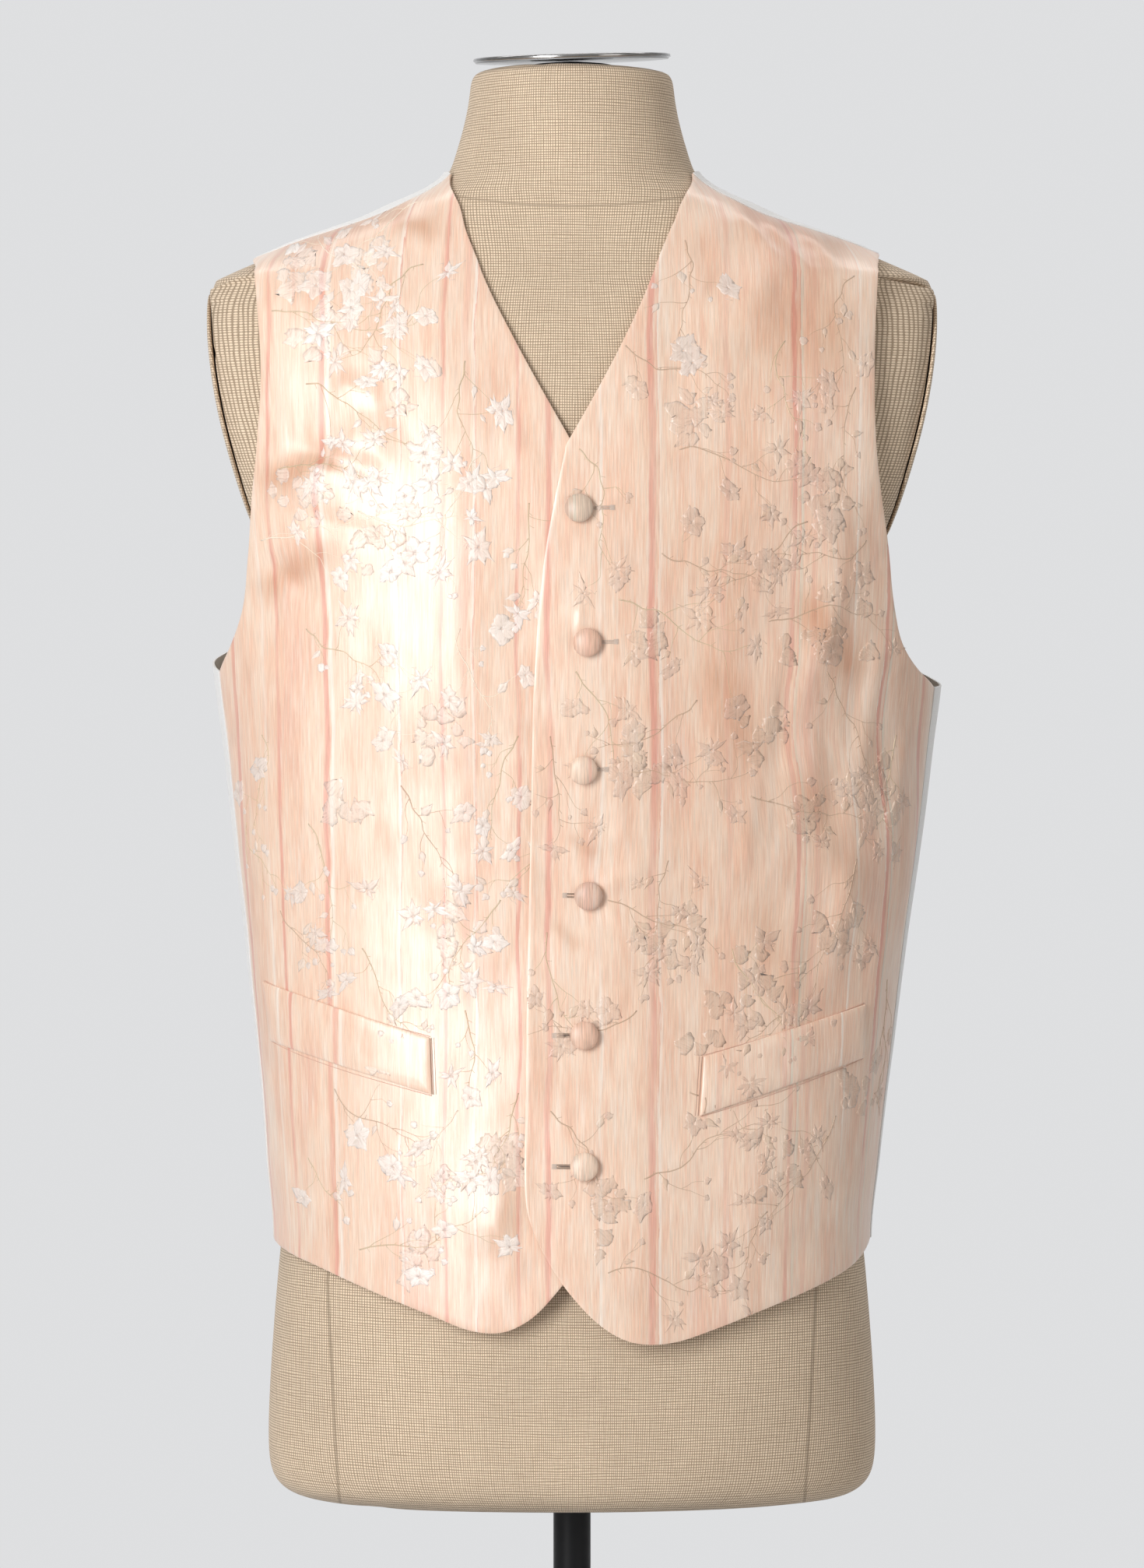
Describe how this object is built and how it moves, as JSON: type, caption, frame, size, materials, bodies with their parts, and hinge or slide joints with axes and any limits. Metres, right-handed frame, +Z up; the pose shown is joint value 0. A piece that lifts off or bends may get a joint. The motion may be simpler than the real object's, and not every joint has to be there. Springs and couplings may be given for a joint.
{
  "type": "gilet on a dress form",
  "caption": "Men's V-neck tailored waistcoat in patterned satin with welt pockets and covered buttons, on a limbless linen dress form with pole and round base.",
  "frame": {"origin": "centre of the base underside, on the floor", "axes": "+Z up, the front faces -Y, the wearer's left is +X"},
  "size_m": [0.4239, 0.31, 1.0352],
  "materials": {
    "front_satin": "peach satin with woven streaks and blossom sprays",
    "back_satin": "plain white satin",
    "button_satin": "patterned satin over a domed button",
    "linen": "plain woven linen over a hard form",
    "neck_fitting": "dark, matt",
    "polished_disc": "polished",
    "stand_black": "black, satin"
  },
  "bodies": {
    "root": {"front_left": "front_satin", "front_right": "front_satin", "back": "back_satin", "welt_left": "front_satin", "welt_right": "front_satin", "button_1": "button_satin", "button_2": "button_satin", "button_3": "button_satin", "button_4": "button_satin", "button_5": "button_satin", "button_6": "button_satin", "form_torso": "linen", "arm_plate_left": "linen", "arm_plate_right": "linen", "neck_stem": "neck_fitting", "neck_disc": "polished_disc", "pole": "stand_black", "base": "stand_black"}
  },
  "joints": []
}
